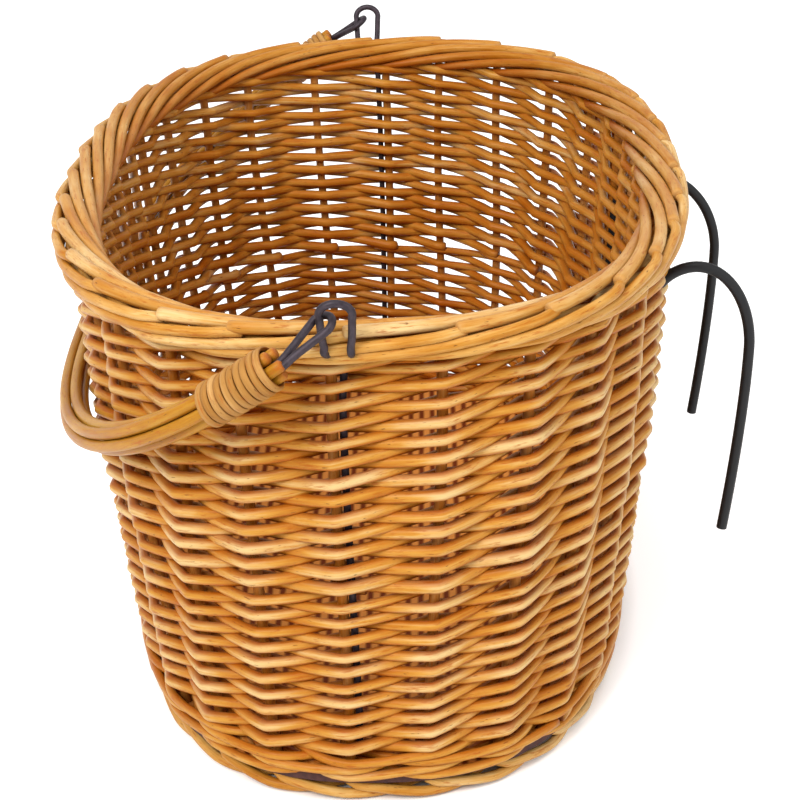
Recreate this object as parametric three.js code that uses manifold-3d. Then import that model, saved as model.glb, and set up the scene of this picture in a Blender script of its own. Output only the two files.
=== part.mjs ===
// Oval willow bicycle basket with two wire hooks and a swinging carrying handle.
// Millimetres, +Z up. X runs from the front of the basket to the handlebar hooks at the back,
// Y runs along the handlebar. The foot border stands on Z = 0.
import * as THREE from 'three'
import ManifoldModule from 'manifold-3d'

// Overall basket: rim and foot are measured over the outside of their borders
const RIM_DEPTH = 280
const RIM_LENGTH = 418
const BASKET_HEIGHT = 218
const FOOT_DEPTH = 225
const FOOT_LENGTH = 381
const OVAL_POWER = 2.45
const WALL_BULGE = 2.4
const GAP = 0.3

// Upright stakes
const STAKE_COUNT = 30
const STAKE_DIAMETER = 4.6
const STAKE_RIM_INSET = 13.7
const STAKE_FOOT_INSET = 5

// Woven wall
const ROD_DIAMETER = 4
const COURSE_COUNT = 10
const COURSE_THICKNESS = 3.2
const COURSE_GAP = 1.2
const ROW_GROOVE = 1
const WEAVE_CLEARANCE = 0.8
const WRAP_HALF_WIDTH = 8.5

// Borders and base
const RIM_WIDTH = 17
const RIM_HEIGHT = 14
const RIM_STRAND_DEPTH = 2.2
const RIM_STRAND_STARTS = 3
const FOOT_WIDTH = 11
const FOOT_HEIGHT = 8.7
const FOOT_LUMP = 0.8
const BOARD_THICKNESS = 5
const BOARD_MARGIN = 2.6
const BOARD_HOLE_CLEARANCE = 0.8
const WALE_HEIGHT = 6

// Carrying wires with their staple loops
const WIRE_DIAMETER = 3
const NEAR_WIRE_X = -9.4
const FAR_WIRE_X = 0
const STAPLE_X = -7.5
const STAPLE_RADIUS = 6
const STAPLE_LEG_HALF = 4
const STAPLE_RISE = 10
const STAPLE_INSET = 4.5
const SHORT_LEG_DEPTH = 11
const WIRE_BOTTOM_MARGIN = 2
const WIRE_STAKE_GAP = 0.5

// Handle
const HANDLE_ROD_COUNT = 5
const HANDLE_ROD_DIAMETER = 4.8
const HANDLE_WALL_GAP = 0.8
const HANDLE_SHOULDER_GAP = 13
const HANDLE_START = 11
const HANDLE_POWER = 2.35
const HANDLE_ROD_START = 13
const HANDLE_REST_ANGLE = 36
const EYE_HALF_WIDTH = 4.8
const EYE_SHANK_LENGTH = 22
const CANE_TURNS = 11
const CANE_WIDTH = 2.4
const CANE_THICKNESS = 1.3
const CANE_PITCH = 3.1
const CANE_START = 5
const CANE_CLEARANCE = 0.5

// Handlebar hooks
const HOOK_DIAMETER = 4.8
const HOOK_SPACING = 134
const HOOK_SHANK_LENGTH = 70
const HOOK_COURSE_DEPTH = 2
const HOOK_CROWN_LIFT = 0.3
const HOOK_CROWN_RISE = 21
const HOOK_CROWN_OUT = 20
const HOOK_REACH = 44.5
const HOOK_SHOULDER_DROP = 38
const HOOK_TAIL_DROP = 90
const HOOK_TIP_TUCK = 8

const materials = {
  stake: [0xb9803f, 0, 0.6],
  weave: [0xd39a52, 0, 0.55],
  border: [0xd9a45c, 0, 0.5],
  board: [0x4a2f24, 0, 0.75],
  wire: [0x4b4550, 0.9, 0.42],
  hook: [0x17171a, 0.2, 0.45],
  rod: [0xc98f48, 0, 0.5],
  cane: [0xc99b63, 0, 0.6],
}

const part = new THREE.Group()
part.name = 'bicycle_basket'

const stakeRadius = STAKE_DIAMETER / 2
const wireRadius = WIRE_DIAMETER / 2
const hookRadius = HOOK_DIAMETER / 2
const weaveOffset = stakeRadius + WEAVE_CLEARANCE + COURSE_THICKNESS / 2
const wallHalf = weaveOffset + COURSE_THICKNESS / 2
const boardBottom = FOOT_HEIGHT + GAP
const boardTop = boardBottom + BOARD_THICKNESS
const rimBottom = BASKET_HEIGHT - RIM_HEIGHT
const waleTop = boardTop + GAP + WALE_HEIGHT
const firstBottom = waleTop + GAP
const courseStep = (rimBottom - firstBottom) / COURSE_COUNT

// The stakes' centre line: an oval that grows from the foot to the rim with a slight belly
const topHalfDepth = RIM_DEPTH / 2 - STAKE_RIM_INSET
const topHalfLength = RIM_LENGTH / 2 - STAKE_RIM_INSET
const footHalfDepth = FOOT_DEPTH / 2 - STAKE_FOOT_INSET
const footHalfLength = FOOT_LENGTH / 2 - STAKE_FOOT_INSET

function ovalAt(z, offset = 0) {
  const t = THREE.MathUtils.clamp((z - boardBottom) / (rimBottom - boardBottom), 0, 1)
  const belly = WALL_BULGE * 4 * t * (1 - t)
  return {
    halfDepth: THREE.MathUtils.lerp(footHalfDepth, topHalfDepth, t) + belly + offset,
    halfLength: THREE.MathUtils.lerp(footHalfLength, topHalfLength, t) + belly + offset,
  }
}

function ovalPoint(oval, angle) {
  const c = Math.cos(angle)
  const s = Math.sin(angle)
  const scale = (Math.abs(c) ** OVAL_POWER + Math.abs(s) ** OVAL_POWER) ** (-1 / OVAL_POWER)
  return new THREE.Vector2(oval.halfDepth * c * scale, oval.halfLength * s * scale)
}

// Angles on the oval at equal steps of length, counted from the near end (-Y) towards +X
const ARC_SAMPLES = 2880
const arcTable = (() => {
  const oval = ovalAt(rimBottom)
  const lengths = [0]
  let previous = ovalPoint(oval, -Math.PI / 2)
  for (let i = 1; i <= ARC_SAMPLES; i++) {
    const point = ovalPoint(oval, -Math.PI / 2 + (i / ARC_SAMPLES) * 2 * Math.PI)
    lengths.push(lengths[i - 1] + point.distanceTo(previous))
    previous = point
  }
  return lengths
})()
const ovalLength = arcTable[ARC_SAMPLES]

// The handle swings about a line along Y through the middle of both staple loops. The long leg of
// the near carrying wire is its front leg, that of the far one its back leg.
const pivotX = STAPLE_X
const pivotZ = BASKET_HEIGHT + STAPLE_RISE
const stapleY = RIM_LENGTH / 2 - STAPLE_INSET

// A stake stands beside each wire's long leg, and the others are spaced evenly between those two.
// k counts the stakes from the near end towards +X and may lie between two of them.
const wireBesideStake = stakeRadius + wireRadius + WIRE_STAKE_GAP
const nearStake = NEAR_WIRE_X - wireBesideStake
const farStake = ovalLength / 2 - (FAR_WIRE_X + wireBesideStake)
const halfCount = STAKE_COUNT / 2

function stakeLength(k) {
  if (k <= halfCount) return THREE.MathUtils.lerp(nearStake, farStake, k / halfCount)
  return THREE.MathUtils.lerp(farStake, nearStake + ovalLength, (k - halfCount) / halfCount)
}

function angleAtLength(length) {
  const wanted = THREE.MathUtils.euclideanModulo(length, ovalLength)
  let low = 0
  let high = ARC_SAMPLES
  while (high - low > 1) {
    const middle = (low + high) >> 1
    if (arcTable[middle] <= wanted) low = middle
    else high = middle
  }
  const share = (wanted - arcTable[low]) / (arcTable[high] - arcTable[low])
  return -Math.PI / 2 + ((low + share) / ARC_SAMPLES) * 2 * Math.PI
}

// A point beside the stakes' centre line: length along the oval, height and outward offset
function wallPoint(length, z, offset = 0) {
  const oval = ovalAt(z)
  const angle = angleAtLength(length)
  const point = ovalPoint(oval, angle)
  const ahead = ovalPoint(oval, angle + 0.002)
  const behind = ovalPoint(oval, angle - 0.002)
  const tangent = ahead.sub(behind).normalize()
  return new THREE.Vector3(point.x + tangent.y * offset, point.y - tangent.x * offset, z)
}

// Mesh builders
function addMesh(name, geometry, materialName) {
  const [color, metalness, roughness] = materials[materialName]
  const material = new THREE.MeshStandardMaterial({ color, metalness, roughness })
  const mesh = new THREE.Mesh(geometry, material)
  mesh.name = name
  part.add(mesh)
  return mesh
}

// Joins equal rings of points into one skin; an open run gets a flat fan at each end
function skin(rings, closed) {
  const count = rings[0].length
  const positions = rings.flat().flatMap((p) => [p.x, p.y, p.z])
  const index = []
  const runs = closed ? rings.length : rings.length - 1
  for (let i = 0; i < runs; i++) {
    const a = i * count
    const b = ((i + 1) % rings.length) * count
    for (let j = 0; j < count; j++) {
      const k = (j + 1) % count
      index.push(a + j, a + k, b + k, a + j, b + k, b + j)
    }
  }
  if (!closed) {
    const last = (rings.length - 1) * count
    for (let j = 1; j < count - 1; j++) {
      index.push(0, j + 1, j)
      index.push(last, last + j, last + j + 1)
    }
  }
  return facingOut(positions, index)
}

function facingOut(positions, index) {
  const a = new THREE.Vector3()
  const b = new THREE.Vector3()
  const c = new THREE.Vector3()
  let volume = 0
  for (let i = 0; i < index.length; i += 3) {
    a.fromArray(positions, index[i] * 3)
    b.fromArray(positions, index[i + 1] * 3)
    c.fromArray(positions, index[i + 2] * 3)
    volume += a.dot(b.cross(c))
  }
  if (volume < 0) {
    for (let i = 0; i < index.length; i += 3) {
      const held = index[i]
      index[i] = index[i + 1]
      index[i + 1] = held
    }
  }
  const geometry = new THREE.BufferGeometry()
  geometry.setAttribute('position', new THREE.Float32BufferAttribute(positions, 3))
  geometry.setIndex(index)
  geometry.computeVertexNormals()
  return geometry
}

// A round or flattened section carried along a path without twisting
function tube(path, radius, sides, reference = new THREE.Vector3(0, 0, 1), flatRadius = radius) {
  const rings = path.map((point, i) => {
    const before = path[Math.max(i - 1, 0)]
    const after = path[Math.min(i + 1, path.length - 1)]
    const along = after.clone().sub(before).normalize()
    const side = reference.clone().cross(along).normalize()
    const up = along.clone().cross(side)
    return Array.from({ length: sides }, (_, j) => {
      const turn = ((j + 0.5) / sides) * 2 * Math.PI
      return point.clone()
        .addScaledVector(side, radius * Math.cos(turn))
        .addScaledVector(up, flatRadius * Math.sin(turn))
    })
  })
  return skin(rings, false)
}

// Base board with a hole for each stake, and the foot border under it
function buildBase() {
  const outline = []
  const boardOval = ovalAt(boardBottom, stakeRadius + BOARD_MARGIN)
  const outlineSteps = STAKE_COUNT * 2
  for (let i = 0; i < outlineSteps; i++) {
    outline.push(ovalPoint(boardOval, (i / outlineSteps) * 2 * Math.PI))
  }
  const shape = new THREE.Shape(outline)
  for (let k = 0; k < STAKE_COUNT; k++) {
    const centre = wallPoint(stakeLength(k), boardBottom + BOARD_THICKNESS / 2)
    const hole = new THREE.Path()
    const holeRadius = stakeRadius + BOARD_HOLE_CLEARANCE
    hole.setFromPoints(Array.from({ length: 8 }, (_, j) => {
      const turn = (j / 8) * 2 * Math.PI
      return new THREE.Vector2(
        centre.x + holeRadius * Math.cos(turn), centre.y + holeRadius * Math.sin(turn))
    }))
    shape.holes.push(hole)
  }
  const board = new THREE.ExtrudeGeometry(shape, { depth: BOARD_THICKNESS, bevelEnabled: false })
  board.translate(0, 0, boardBottom)
  addMesh('base_board', board, 'board')

  const inset = STAKE_FOOT_INSET - FOOT_WIDTH / 2
  const rings = []
  for (let i = 0; i < STAKE_COUNT * 2; i++) {
    const length = stakeLength(i / 2)
    const lump = i % 2 === 0 ? -FOOT_LUMP : 0
    const half = FOOT_WIDTH / 2
    const outer = inset + half + lump
    const inner = inset - half - lump
    const bevel = FOOT_HEIGHT * 0.3
    rings.push([
      wallPoint(length, 0, inner + bevel), wallPoint(length, 0, outer - bevel),
      wallPoint(length, bevel, outer), wallPoint(length, FOOT_HEIGHT - bevel, outer),
      wallPoint(length, FOOT_HEIGHT, outer - bevel), wallPoint(length, FOOT_HEIGHT, inner + bevel),
      wallPoint(length, FOOT_HEIGHT - bevel, inner), wallPoint(length, bevel, inner),
    ])
  }
  addMesh('foot_border', skin(rings, true), 'border')
}

// Upright stakes, from the underside of the board to the underside of the rim border
function buildStakes() {
  const levels = 4
  for (let k = 0; k < STAKE_COUNT; k++) {
    const length = stakeLength(k)
    const path = []
    for (let i = 0; i <= levels; i++) {
      path.push(wallPoint(length, THREE.MathUtils.lerp(boardBottom + GAP, rimBottom - GAP, i / levels)))
    }
    const outward = wallPoint(length, 0, 1).sub(wallPoint(length, 0))
    const number = String(k + 1).padStart(2, '0')
    addMesh(`stake_${number}`, tube(path, stakeRadius, 6, outward), 'stake')
  }
}

function passesOutside(stake, course) {
  return (stake + course) % 2 === 1
}

// Bottom wale outside the stakes, then courses that pass before one stake and behind the next.
// A groove along each face parts a course into two rows of rods.
function buildWall() {
  const waleInner = stakeRadius + GAP
  const waleOuter = waleInner + ROD_DIAMETER
  const waleBottom = boardTop + GAP
  const waleRings = []
  for (let i = 0; i < STAKE_COUNT * 2; i++) {
    const length = stakeLength(i / 2)
    waleRings.push([
      wallPoint(length, waleBottom, waleInner), wallPoint(length, waleBottom, waleOuter),
      wallPoint(length, waleTop, waleOuter), wallPoint(length, waleTop, waleInner),
    ])
  }
  addMesh('bottom_wale', skin(waleRings, true), 'weave')

  for (let course = 0; course < COURSE_COUNT; course++) {
    const low = firstBottom + course * courseStep
    const high = low + courseStep - COURSE_GAP
    const middle = (low + high) / 2
    const rings = []
    for (let k = 0; k < STAKE_COUNT; k++) {
      const stake = stakeLength(k)
      const side = passesOutside(k, course) ? 1 : -1
      const inner = side * weaveOffset - COURSE_THICKNESS / 2
      const outer = side * weaveOffset + COURSE_THICKNESS / 2
      for (const length of [stake - WRAP_HALF_WIDTH, stake + WRAP_HALF_WIDTH]) {
        rings.push([
          wallPoint(length, low, inner), wallPoint(length, low, outer),
          wallPoint(length, middle, outer - ROW_GROOVE), wallPoint(length, high, outer),
          wallPoint(length, high, inner), wallPoint(length, middle, inner + ROW_GROOVE),
        ])
      }
    }
    const number = String(course + 1).padStart(2, '0')
    addMesh(`weave_course_${number}`, skin(rings, true), 'weave')
  }
}

// One carrying wire: up beside a stake, out through the border, round the staple loop and back down
function carryingWirePath(end) {
  const path = []
  const bendZ = rimBottom - wireRadius
  const length = stakeLength(end < 0 ? 0 : halfCount) + wireBesideStake
  for (let i = 0; i <= 4; i++) {
    path.push(wallPoint(length, THREE.MathUtils.lerp(waleTop + WIRE_BOTTOM_MARGIN, bendZ, i / 4)))
  }
  const legX = end * STAPLE_LEG_HALF
  const legZ = BASKET_HEIGHT - RIM_HEIGHT / 3
  path.push(new THREE.Vector3(pivotX + legX, end * stapleY, legZ))
  const turns = 12
  const opening = Math.PI / 4
  for (let i = 0; i <= turns; i++) {
    const turn = THREE.MathUtils.lerp(-opening, Math.PI + opening, i / turns)
    path.push(new THREE.Vector3(
      pivotX + end * STAPLE_RADIUS * Math.cos(turn), end * stapleY,
      pivotZ + STAPLE_RADIUS * Math.sin(turn)))
  }
  path.push(new THREE.Vector3(pivotX - legX, end * stapleY, legZ))
  path.push(new THREE.Vector3(pivotX - legX, end * stapleY, BASKET_HEIGHT - SHORT_LEG_DEPTH))
  return path
}

const alongY = new THREE.Vector3(0, 1, 0)
const ends = [['near', -1], ['far', 1]]

// Rim border: its strands wind round it, one for each stake, and leave grooves between them.
// The carrying wires' holes are cut through it.
async function buildRim() {
  const outer = RIM_DEPTH / 2 - topHalfDepth
  const inner = outer - RIM_WIDTH
  const centre = new THREE.Vector2((outer + inner) / 2, rimBottom + RIM_HEIGHT / 2)
  const bevel = RIM_HEIGHT * 0.3
  const section = [
    [inner + bevel, rimBottom], [outer - bevel, rimBottom],
    [outer, rimBottom + bevel], [outer, BASKET_HEIGHT - bevel],
    [outer - bevel, BASKET_HEIGHT], [inner + bevel, BASKET_HEIGHT],
    [inner, BASKET_HEIGHT - bevel], [inner, rimBottom + bevel],
  ].map(([offset, z]) => new THREE.Vector2(offset, z))
  const stationsPerStake = 4
  const rings = []
  for (let i = 0; i < STAKE_COUNT * stationsPerStake; i++) {
    const length = stakeLength(i / stationsPerStake)
    rings.push(section.map((corner, j) => {
      const strand = i / stationsPerStake - (RIM_STRAND_STARTS * j) / section.length
      const depth = RIM_STRAND_DEPTH * (0.5 - 0.5 * Math.cos(2 * Math.PI * strand))
      const inward = centre.clone().sub(corner).setLength(depth)
      const point = corner.clone().add(inward)
      return wallPoint(length, point.y, point.x)
    }))
  }
  const { Manifold, Mesh } = await loadManifold()
  const solid = (geometry) => {
    const mesh = new Mesh({
      numProp: 3,
      vertProperties: new Float32Array(geometry.attributes.position.array),
      triVerts: new Uint32Array(geometry.index.array),
    })
    mesh.merge()
    return new Manifold(mesh)
  }
  let border = solid(skin(rings, true))
  for (const [, end] of ends) {
    border = border.subtract(
      solid(tube(carryingWirePath(end), wireRadius + GAP * 1.5, 8, alongY)))
  }
  const cut = border.getMesh()
  const positions = []
  for (let i = 0; i < cut.numVert; i++) {
    const at = i * cut.numProp
    positions.push(cut.vertProperties[at], cut.vertProperties[at + 1], cut.vertProperties[at + 2])
  }
  addMesh('rim_border', facingOut(positions, Array.from(cut.triVerts)), 'border')
}

async function loadManifold() {
  const wasm = await ManifoldModule()
  wasm.setup()
  return wasm
}

function buildCarryingWires() {
  for (const [label, end] of ends) {
    addMesh(`carrying_wire_${label}`, tube(carryingWirePath(end), wireRadius, 8, alongY), 'wire')
  }
}

// Handle arch in its own plane: reach from the pivot line, and distance from the centre in Y
const rodRing = (HANDLE_ROD_DIAMETER / 2 + GAP / 2) / Math.sin(Math.PI / HANDLE_ROD_COUNT)
const caneRing = rodRing + HANDLE_ROD_DIAMETER / 2 + CANE_CLEARANCE + CANE_THICKNESS / 2
const shoulderY = RIM_LENGTH / 2 + HANDLE_SHOULDER_GAP
const restDrop = THREE.MathUtils.degToRad(HANDLE_REST_ANGLE)

// How far the crossbar hangs from the pivot line, so that it just clears the front of the wall
const handleReach = (() => {
  const beyondWall = wallHalf + HANDLE_WALL_GAP + rodRing + HANDLE_ROD_DIAMETER / 2
  let reach = RIM_DEPTH / 2
  for (let i = 0; i < 12; i++) {
    const wall = ovalAt(pivotZ - reach * Math.sin(restDrop)).halfDepth
    reach = (wall + beyondWall + pivotX) / Math.cos(restDrop)
  }
  return reach
})()

const archPoints = Array.from({ length: 33 }, (_, i) => {
  const angle = (i / 32 - 0.5) * Math.PI
  const c = Math.cos(angle)
  const s = Math.sin(angle)
  const scale = (Math.abs(c) ** HANDLE_POWER + Math.abs(s) ** HANDLE_POWER) ** (-1 / HANDLE_POWER)
  return new THREE.Vector3(
    HANDLE_START + (handleReach - HANDLE_START) * c * scale, shoulderY * s * scale, 0)
})
const archCurve = new THREE.CatmullRomCurve3(archPoints, false, 'centripetal')
const archLength = archCurve.getLength()
const rodStartShare = HANDLE_ROD_START / archLength

// From the handle's own plane (reach, y, height off the plane) to where it hangs at rest
function hang(reach, y, lift) {
  return new THREE.Vector3(
    pivotX - reach * Math.cos(restDrop) - lift * Math.sin(restDrop), y,
    pivotZ - reach * Math.sin(restDrop) + lift * Math.cos(restDrop))
}
const handleNormal = hang(0, 0, 1).sub(hang(0, 0, 0))

function archFrame(share) {
  const point = archCurve.getPointAt(share)
  const along = archCurve.getTangentAt(share)
  return { point, along, side: new THREE.Vector3(-along.y, along.x, 0) }
}

function buildHandleRods() {
  const steps = 28
  for (let rod = 0; rod < HANDLE_ROD_COUNT; rod++) {
    const turn = ((rod + 0.5) / HANDLE_ROD_COUNT) * 2 * Math.PI
    const path = []
    for (let i = 0; i <= steps; i++) {
      const share = THREE.MathUtils.lerp(rodStartShare, 1 - rodStartShare, i / steps)
      const { point, side } = archFrame(share)
      const across = rodRing * Math.cos(turn)
      path.push(hang(
        point.x + side.x * across, point.y + side.y * across, rodRing * Math.sin(turn)))
    }
    const geometry = tube(path, HANDLE_ROD_DIAMETER / 2, 6, handleNormal)
    addMesh(`handle_rod_${rod + 1}`, geometry, 'rod')
  }
}

// Wire eye: a teardrop through the staple whose shank runs into the middle of the rods
function buildHandleEyes() {
  const closedEnd = STAPLE_RADIUS - WIRE_DIAMETER - GAP
  const loopCentre = closedEnd + EYE_HALF_WIDTH
  for (const [label, end] of ends) {
    const start = archFrame(rodStartShare)
    const shank = []
    for (let i = 0; i <= 3; i++) {
      const share = (HANDLE_ROD_START + EYE_SHANK_LENGTH * (1 - i / 3)) / archLength
      shank.push(archFrame(share).point)
    }
    const neck = start.point.clone()
    const loop = new THREE.Vector3(loopCentre, -stapleY, 0)
    const axis = neck.clone().sub(loop).normalize()
    const across = new THREE.Vector3(-axis.y, axis.x, 0)
    const turns = 10
    const opening = 0.55 * Math.PI
    const arc = Array.from({ length: turns + 1 }, (_, i) => {
      const turn = THREE.MathUtils.lerp(opening, 2 * Math.PI - opening, i / turns)
      return loop.clone()
        .addScaledVector(axis, EYE_HALF_WIDTH * Math.cos(turn))
        .addScaledVector(across, EYE_HALF_WIDTH * Math.sin(turn))
    })
    const tailEnd = neck.clone()
      .addScaledVector(axis, -GAP * 2)
      .addScaledVector(across, -(WIRE_DIAMETER + GAP))
    const tail = neck.clone()
      .addScaledVector(axis, -EYE_HALF_WIDTH)
      .addScaledVector(across, -(WIRE_DIAMETER + GAP))
    const flat = [...shank, ...arc, tail, tailEnd]
    const path = flat.map((p) => hang(p.x, end * -p.y, 0))
    addMesh(`handle_eye_${label}`, tube(path, wireRadius, 8, handleNormal), 'wire')
  }
}

// The ring that carries a strip straight on past its end by one width of the strip
function straightLead(end, next) {
  const onward = end[0].clone().sub(next[0]).setLength(CANE_WIDTH)
  return end.map((p) => p.clone().add(onward))
}

// Cane wrap: one flat strip wound round the rods near each end of the handle
function buildCaneWraps() {
  const stepsPerTurn = 14
  const steps = CANE_TURNS * stepsPerTurn
  for (const [label, end] of ends) {
    const centres = []
    for (let i = 0; i <= steps; i++) {
      const turn = (i / stepsPerTurn) * 2 * Math.PI
      const run = HANDLE_ROD_START + CANE_START + (i / stepsPerTurn) * CANE_PITCH
      const share = run / archLength
      const { point, along, side } = archFrame(share)
      const outX = side.x * Math.cos(turn)
      const outY = side.y * Math.cos(turn)
      const lift = Math.sin(turn)
      centres.push({ point, along, out: new THREE.Vector3(outX, outY, lift) })
    }
    const rings = centres.map(({ point, along, out }) => {
      const corners = [[-1, -1], [1, -1], [1, 1], [-1, 1]]
      return corners.map(([wide, thick]) => {
        const p = point.clone()
          .addScaledVector(along, (wide * CANE_WIDTH) / 2)
          .addScaledVector(out, caneRing + (thick * CANE_THICKNESS) / 2)
        return hang(p.x, end * -p.y, p.z)
      })
    })
    rings.unshift(straightLead(rings[0], rings[1]))
    rings.push(straightLead(rings.at(-1), rings.at(-2)))
    let least = Infinity
    for (let i = 0; i + stepsPerTurn < rings.length; i++) {
      for (const a of rings[i]) {
        for (const b of rings[i + stepsPerTurn]) least = Math.min(least, a.distanceTo(b))
      }
    }
    console.log(`cane wrap ${label}: least gap between turns ${least.toFixed(2)} mm`)
    addMesh(`cane_wrap_${label}`, skin(rings, false), 'cane')
  }
}

// Handlebar hooks: a shank beside a stake inside the weave, a crown, and a long tail.
// Each leaves the wall beside a stake that its course passes on the inside.
function buildHooks() {
  const course = COURSE_COUNT - HOOK_COURSE_DEPTH
  const crownZ = firstBottom + (course + 1) * courseStep + HOOK_CROWN_LIFT
  const bendStart = crownZ - HOOK_CROWN_RISE
  const parity = passesOutside(0, course) ? 1 : 0
  for (const [label, end] of ends) {
    const planeY = (end * HOOK_SPACING) / 2
    const wanted = ovalLength / 4 + planeY
    let stake = parity
    for (let k = parity; k < halfCount; k += 2) {
      if (Math.abs(stakeLength(k) - wanted) < Math.abs(stakeLength(stake) - wanted)) stake = k
    }
    const beside = stakeRadius + hookRadius + GAP
    const length = stakeLength(stake) - beside
    const path = []
    for (let i = 0; i <= 3; i++) {
      const z = THREE.MathUtils.lerp(bendStart - HOOK_SHANK_LENGTH, bendStart, i / 3)
      path.push(wallPoint(length, z))
    }
    const root = path[3]
    const place = (out, z) => {
      const y = THREE.MathUtils.lerp(root.y, planeY, Math.min(out / HOOK_REACH, 1))
      path.push(new THREE.Vector3(root.x + out, y, z))
    }
    for (let i = 1; i <= 4; i++) {
      const turn = (i / 4) * (Math.PI / 2)
      place(HOOK_CROWN_OUT * (1 - Math.cos(turn)), bendStart + HOOK_CROWN_RISE * Math.sin(turn))
    }
    for (let i = 1; i <= 5; i++) {
      const turn = (i / 5) * (Math.PI / 2)
      const out = HOOK_CROWN_OUT + (HOOK_REACH - HOOK_CROWN_OUT) * Math.sin(turn)
      place(out, crownZ - HOOK_SHOULDER_DROP * (1 - Math.cos(turn)))
    }
    const tail = crownZ - HOOK_SHOULDER_DROP
    for (let i = 1; i <= 3; i++) {
      const share = i / 3
      path.push(new THREE.Vector3(
        root.x + HOOK_REACH - HOOK_TIP_TUCK * share ** 1.5, planeY, tail - HOOK_TAIL_DROP * share))
    }
    addMesh(`handlebar_hook_${label}`, tube(path, hookRadius, 8, alongY), 'hook')
  }
}

buildBase()
buildStakes()
buildWall()
await buildRim()
buildCarryingWires()
buildHooks()
buildHandleRods()
buildHandleEyes()
buildCaneWraps()

// Centre the whole basket over the origin in X, hooks and hanging handle included
const bounds = new THREE.Box3().setFromObject(part)
const centreX = (bounds.min.x + bounds.max.x) / 2
for (const mesh of part.children) mesh.geometry.translate(-centreX, 0, 0)

export default part
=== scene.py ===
"""Oval woven willow bicycle basket with two wire hooks and a swinging carrying handle.

Sizes are in millimetres and become metres when a mesh is made. Every rod of the weave and of both
borders is a swept tube on its real path.
"""

import math

import bpy
import numpy as np
from mathutils import Matrix, Vector


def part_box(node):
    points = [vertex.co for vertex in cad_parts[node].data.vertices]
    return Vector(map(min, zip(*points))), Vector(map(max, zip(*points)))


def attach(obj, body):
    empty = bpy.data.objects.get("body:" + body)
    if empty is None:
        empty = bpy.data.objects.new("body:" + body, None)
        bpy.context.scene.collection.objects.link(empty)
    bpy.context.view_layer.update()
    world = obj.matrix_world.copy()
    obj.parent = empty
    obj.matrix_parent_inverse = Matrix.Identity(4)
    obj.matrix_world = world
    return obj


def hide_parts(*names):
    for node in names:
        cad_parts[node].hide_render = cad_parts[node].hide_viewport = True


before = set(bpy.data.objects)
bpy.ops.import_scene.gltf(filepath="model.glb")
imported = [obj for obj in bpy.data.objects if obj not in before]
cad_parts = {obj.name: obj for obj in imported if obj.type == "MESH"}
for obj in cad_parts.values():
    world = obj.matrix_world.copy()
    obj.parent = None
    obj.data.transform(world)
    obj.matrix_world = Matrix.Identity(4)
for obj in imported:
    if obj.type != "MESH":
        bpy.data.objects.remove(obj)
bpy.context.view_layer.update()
rng = np.random.default_rng(41)

# Overall basket
RIM_DEPTH = 280.0
RIM_LENGTH = 418.0
BASKET_HEIGHT = 218.0
FOOT_DEPTH = 225.0
FOOT_LENGTH = 381.0
OVAL_POWER = 2.45
WALL_BULGE = 2.4
WALL_HALF = 6.3
RIM_HEIGHT = 14.0
FOOT_HEIGHT = 8.7
BOARD_THICKNESS = 5.0
GAP = 0.3

# The basket's two ends along its length, with the sign of their Y
ENDS = (("near", -1), ("far", 1))

# Upright stakes
STAKE_COUNT = 30
STAKE_RADIUS = 2.3
STAKE_RIM_INSET = 13.7
STAKE_FOOT_INSET = 5.0

# How far single stakes stand from their even places, in mm along the oval
STAKE_WANDER = (
    [0, 1, 2, 3, 4, 6, 10, 11, 12, 13, 14, 15, 16, 17, 18, 19, 21, 24, 27, 28, 29, 30],
    [3, 8, 8, 6, 4, 0, 0, 3, 9, 10, 8, 2, 7, 12, 10, 11, 7, 0, 1, 4, 0, 3])

# Both borders
BORDER_RADIUS = 2.35
FOOT_STRAND_RADIUS = 2.15
BORDER_LOW_Z = 9.0
BORDER_HIGH_Z = 204.0

# Stations of (stakes travelled, outward offset, height). A stake rod is foot strand, upright and
# top border strand in one.
FOOT_STATIONS = [
    (2.22, -6.2, 5.4), (2.0, -5.6, 4.3), (1.75, -3.6, 3.1), (1.4, 0.6, 2.3), (1.0, 2.9, 2.5),
    (0.7, 3.3, 3.7), (0.35, 3.2, 5.5), (0.10, 2.8, 6.6), (0.0, 1.6, 7.6), (0.0, 0.2, 10.0)]
TOP_STATIONS = [
    (0.0, 0.3, 203.0), (0.02, 1.2, 207.0), (0.10, 3.2, 210.0), (0.30, 5.2, 211.0),
    (0.60, 6.2, 210.4), (0.85, 5.6, 208.4), (1.0, 5.2, 207.3), (1.5, 7.2, 206.8),
    (2.0, 9.8, 207.0), (2.5, 10.6, 208.6), (3.0, 11.2, 210.6), (3.5, 11.0, 212.7),
    (3.86, 10.9, 214.2), (3.98, 10.6, 214.8), (4.06, 9.9, 215.1), (4.13, 8.7, 214.9),
    (4.18, 7.5, 214.3)]

# A cut rod crosses the top border from its outer to its inner edge
CROSSING_STATIONS = [
    (4.12, 8.3, 216.4), (4.3, 7.4, 216.5), (4.7, 5.2, 216.4), (5.1, 3.0, 216.1),
    (5.5, 0.8, 215.7), (5.9, -1.3, 214.9), (6.3, -3.1, 213.6), (6.7, -4.5, 211.9),
    (7.1, -5.3, 210.0), (7.5, -5.4, 208.0), (7.8, -4.6, 206.4), (8.0, -3.0, 205.4),
    (8.2, -1.0, 204.9)]

# Wale at the bottom
WALE_ROWS = 5
WALE_START = 12.6
WALE_PITCH = 3.5
WALE_RADIUS = 1.95
WALE_OUT = 5.6
WALE_SPAN = 3

# The two bands of randing: first height, rows, pitch, rod radius, and how many stakes further
# than its last row each rod runs
RAND_BANDS = [
    ("low", 22.6, 21, 3.88, 2.25, -0.75),
    ("high", 102.2, 27, 3.92, 2.38, 0.3)]
ROD_BUTT = 1.08
ROD_TAPER = 0.20
ROD_WOBBLE = 0.45
CORNER_SHARPNESS = 0.998

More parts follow.
